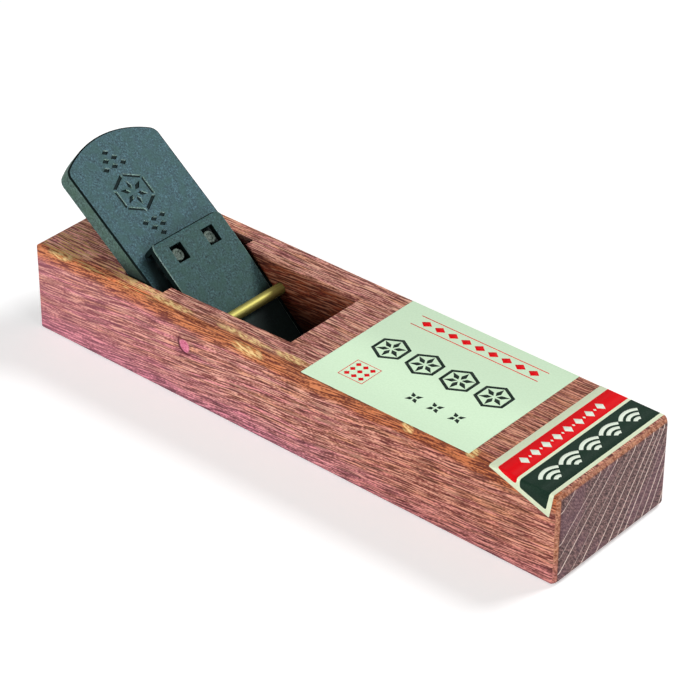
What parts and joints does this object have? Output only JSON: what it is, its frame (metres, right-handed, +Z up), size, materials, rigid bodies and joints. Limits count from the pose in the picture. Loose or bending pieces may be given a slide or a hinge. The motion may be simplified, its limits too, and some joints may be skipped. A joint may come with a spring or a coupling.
{
  "type": "japanese pull plane",
  "caption": "Small wooden pull plane with a slanted painted blade holder, a replaceable blade, a press plate under a brass rod, and blank paper labels on the block.",
  "frame": {"origin": "middle of the sole, on the surface that the plane rests on", "axes": "+X along the block towards the front end, away from the blade's head; +Y to the side without the rod's plug; +Z up"},
  "size_m": [0.22, 0.0561, 0.0643],
  "materials": {
    "block_wood": "fine straight grain, satin",
    "plug_wood": "flush plug, satin",
    "rod_brass": "polished",
    "holder_paint": "satin, finely speckled",
    "plate_paint": "satin, finely speckled",
    "blade_steel": "ground",
    "stud_steel": "turned",
    "mint_paper": "coated paper",
    "striped_paper": "coated paper"
  },
  "bodies": {
    "block": {"plane_block": "block_wood", "press_rod": "rod_brass", "rod_plug": "plug_wood", "top_label": "mint_paper", "end_label": "striped_paper"},
    "blade": {"blade_holder": "holder_paint", "cutting_blade": "blade_steel", "blade_pin_near": "blade_steel", "blade_pin_far": "blade_steel", "plate_stud_near": "stud_steel", "plate_stud_far": "stud_steel"},
    "plate": {"press_plate": "plate_paint"}
  },
  "joints": [
    {"name": "blade_slide", "type": "slide", "parent": "block", "child": "blade", "axis": [-0.7902, 0, 0.6129], "range_m": [-0.0008, 0.062]},
    {"name": "plate_slide", "type": "slide", "parent": "blade", "child": "plate", "axis": [-0.7902, 0, 0.6129], "range_m": [-0.0005, 0.0005]}
  ]
}
